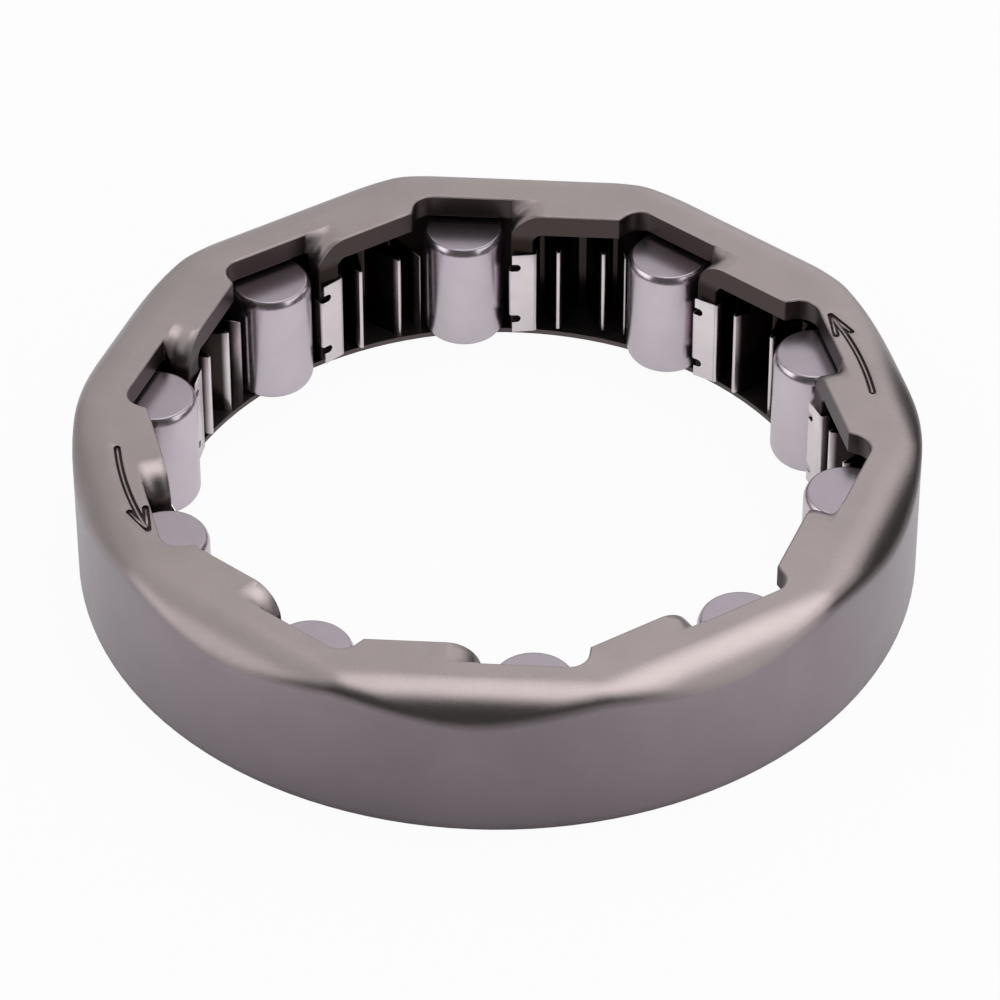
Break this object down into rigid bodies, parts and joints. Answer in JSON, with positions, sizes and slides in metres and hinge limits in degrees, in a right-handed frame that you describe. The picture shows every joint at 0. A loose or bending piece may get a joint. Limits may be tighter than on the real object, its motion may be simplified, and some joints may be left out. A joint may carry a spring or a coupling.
{
  "type": "one-way roller clutch",
  "caption": "Roller one-way clutch: a drawn steel cup with a polygonal rim and inner cam flats, rollers pushed by accordion springs on bent legs, and a thin retaining ring.",
  "frame": {"origin": "on the clutch axis, at the bottom face, which is the open side that the retaining ring closes", "axes": "+Z along the clutch axis towards the flange with the arrows; +Y square to the first cam flat"},
  "size_m": [0.12, 0.12, 0.0229],
  "materials": {
    "race_steel": "satin, drawn and tumbled",
    "ring_steel": "satin, stamped",
    "roller_steel": "ground",
    "spring_steel": "bright rolled strip"
  },
  "bodies": {
    "race": {"outer_race": "race_steel", "retaining_ring": "ring_steel"},
    "spring_01": {"spring_01": "spring_steel"},
    "roller_01": {"roller_01": "roller_steel"},
    "spring_02": {"spring_02": "spring_steel"},
    "roller_02": {"roller_02": "roller_steel"},
    "spring_03": {"spring_03": "spring_steel"},
    "roller_03": {"roller_03": "roller_steel"},
    "spring_04": {"spring_04": "spring_steel"},
    "roller_04": {"roller_04": "roller_steel"},
    "spring_05": {"spring_05": "spring_steel"},
    "roller_05": {"roller_05": "roller_steel"},
    "spring_06": {"spring_06": "spring_steel"},
    "roller_06": {"roller_06": "roller_steel"},
    "spring_07": {"spring_07": "spring_steel"},
    "roller_07": {"roller_07": "roller_steel"},
    "spring_08": {"spring_08": "spring_steel"},
    "roller_08": {"roller_08": "roller_steel"},
    "spring_09": {"spring_09": "spring_steel"},
    "roller_09": {"roller_09": "roller_steel"},
    "spring_10": {"spring_10": "spring_steel"},
    "roller_10": {"roller_10": "roller_steel"}
  },
  "joints": [
    {"name": "roller_01_travel", "type": "slide", "parent": "race", "child": "spring_01", "axis": [-1, 0, 0], "range_m": [0, 0.004], "stiffness_N_per_m": 1200, "springref_m": -0.003, "deforming": ["spring_01"]},
    {"name": "roller_01_spin", "type": "hinge", "parent": "spring_01", "child": "roller_01", "pos_m": [-0.0081, 0.04942, 0.00975], "axis": [0, 0, 1], "continuous": true},
    {"name": "roller_02_travel", "type": "slide", "parent": "race", "child": "spring_02", "axis": [-0.809, 0.5878, 0], "range_m": [0, 0.004], "stiffness_N_per_m": 1200, "springref_m": -0.003, "deforming": ["spring_02"]},
    {"name": "roller_02_spin", "type": "hinge", "parent": "spring_02", "child": "roller_02", "pos_m": [0.0225, 0.04474, 0.00975], "axis": [0, 0, 1], "continuous": true},
    {"name": "roller_03_travel", "type": "slide", "parent": "race", "child": "spring_03", "axis": [-0.309, 0.9511, 0], "range_m": [0, 0.004], "stiffness_N_per_m": 1200, "springref_m": -0.003, "deforming": ["spring_03"]},
    {"name": "roller_03_spin", "type": "hinge", "parent": "spring_03", "child": "roller_03", "pos_m": [0.0445, 0.02298, 0.00975], "axis": [0, 0, 1], "continuous": true},
    {"name": "roller_04_travel", "type": "slide", "parent": "race", "child": "spring_04", "axis": [0.309, 0.9511, 0], "range_m": [0, 0.004], "stiffness_N_per_m": 1200, "springref_m": -0.003, "deforming": ["spring_04"]},
    {"name": "roller_04_spin", "type": "hinge", "parent": "spring_04", "child": "roller_04", "pos_m": [0.0495, -0.00757, 0.00975], "axis": [0, 0, 1], "continuous": true},
    {"name": "roller_05_travel", "type": "slide", "parent": "race", "child": "spring_05", "axis": [0.809, 0.5878, 0], "range_m": [0, 0.004], "stiffness_N_per_m": 1200, "springref_m": -0.003, "deforming": ["spring_05"]},
    {"name": "roller_05_spin", "type": "hinge", "parent": "spring_05", "child": "roller_05", "pos_m": [0.0356, -0.03522, 0.00975], "axis": [0, 0, 1], "continuous": true},
    {"name": "roller_06_travel", "type": "slide", "parent": "race", "child": "spring_06", "axis": [1, 0, 0], "range_m": [0, 0.004], "stiffness_N_per_m": 1200, "springref_m": -0.003, "deforming": ["spring_06"]},
    {"name": "roller_06_spin", "type": "hinge", "parent": "spring_06", "child": "roller_06", "pos_m": [0.0081, -0.04942, 0.00975], "axis": [0, 0, 1], "continuous": true},
    {"name": "roller_07_travel", "type": "slide", "parent": "race", "child": "spring_07", "axis": [0.809, -0.5878, 0], "range_m": [0, 0.004], "stiffness_N_per_m": 1200, "springref_m": -0.003, "deforming": ["spring_07"]},
    {"name": "roller_07_spin", "type": "hinge", "parent": "spring_07", "child": "roller_07", "pos_m": [-0.0225, -0.04474, 0.00975], "axis": [0, 0, 1], "continuous": true},
    {"name": "roller_08_travel", "type": "slide", "parent": "race", "child": "spring_08", "axis": [0.309, -0.9511, 0], "range_m": [0, 0.004], "stiffness_N_per_m": 1200, "springref_m": -0.003, "deforming": ["spring_08"]},
    {"name": "roller_08_spin", "type": "hinge", "parent": "spring_08", "child": "roller_08", "pos_m": [-0.0445, -0.02298, 0.00975], "axis": [0, 0, 1], "continuous": true},
    {"name": "roller_09_travel", "type": "slide", "parent": "race", "child": "spring_09", "axis": [-0.309, -0.9511, 0], "range_m": [0, 0.004], "stiffness_N_per_m": 1200, "springref_m": -0.003, "deforming": ["spring_09"]},
    {"name": "roller_09_spin", "type": "hinge", "parent": "spring_09", "child": "roller_09", "pos_m": [-0.0495, 0.00757, 0.00975], "axis": [0, 0, 1], "continuous": true},
    {"name": "roller_10_travel", "type": "slide", "parent": "race", "child": "spring_10", "axis": [-0.809, -0.5878, 0], "range_m": [0, 0.004], "stiffness_N_per_m": 1200, "springref_m": -0.003, "deforming": ["spring_10"]},
    {"name": "roller_10_spin", "type": "hinge", "parent": "spring_10", "child": "roller_10", "pos_m": [-0.0356, 0.03522, 0.00975], "axis": [0, 0, 1], "continuous": true}
  ]
}
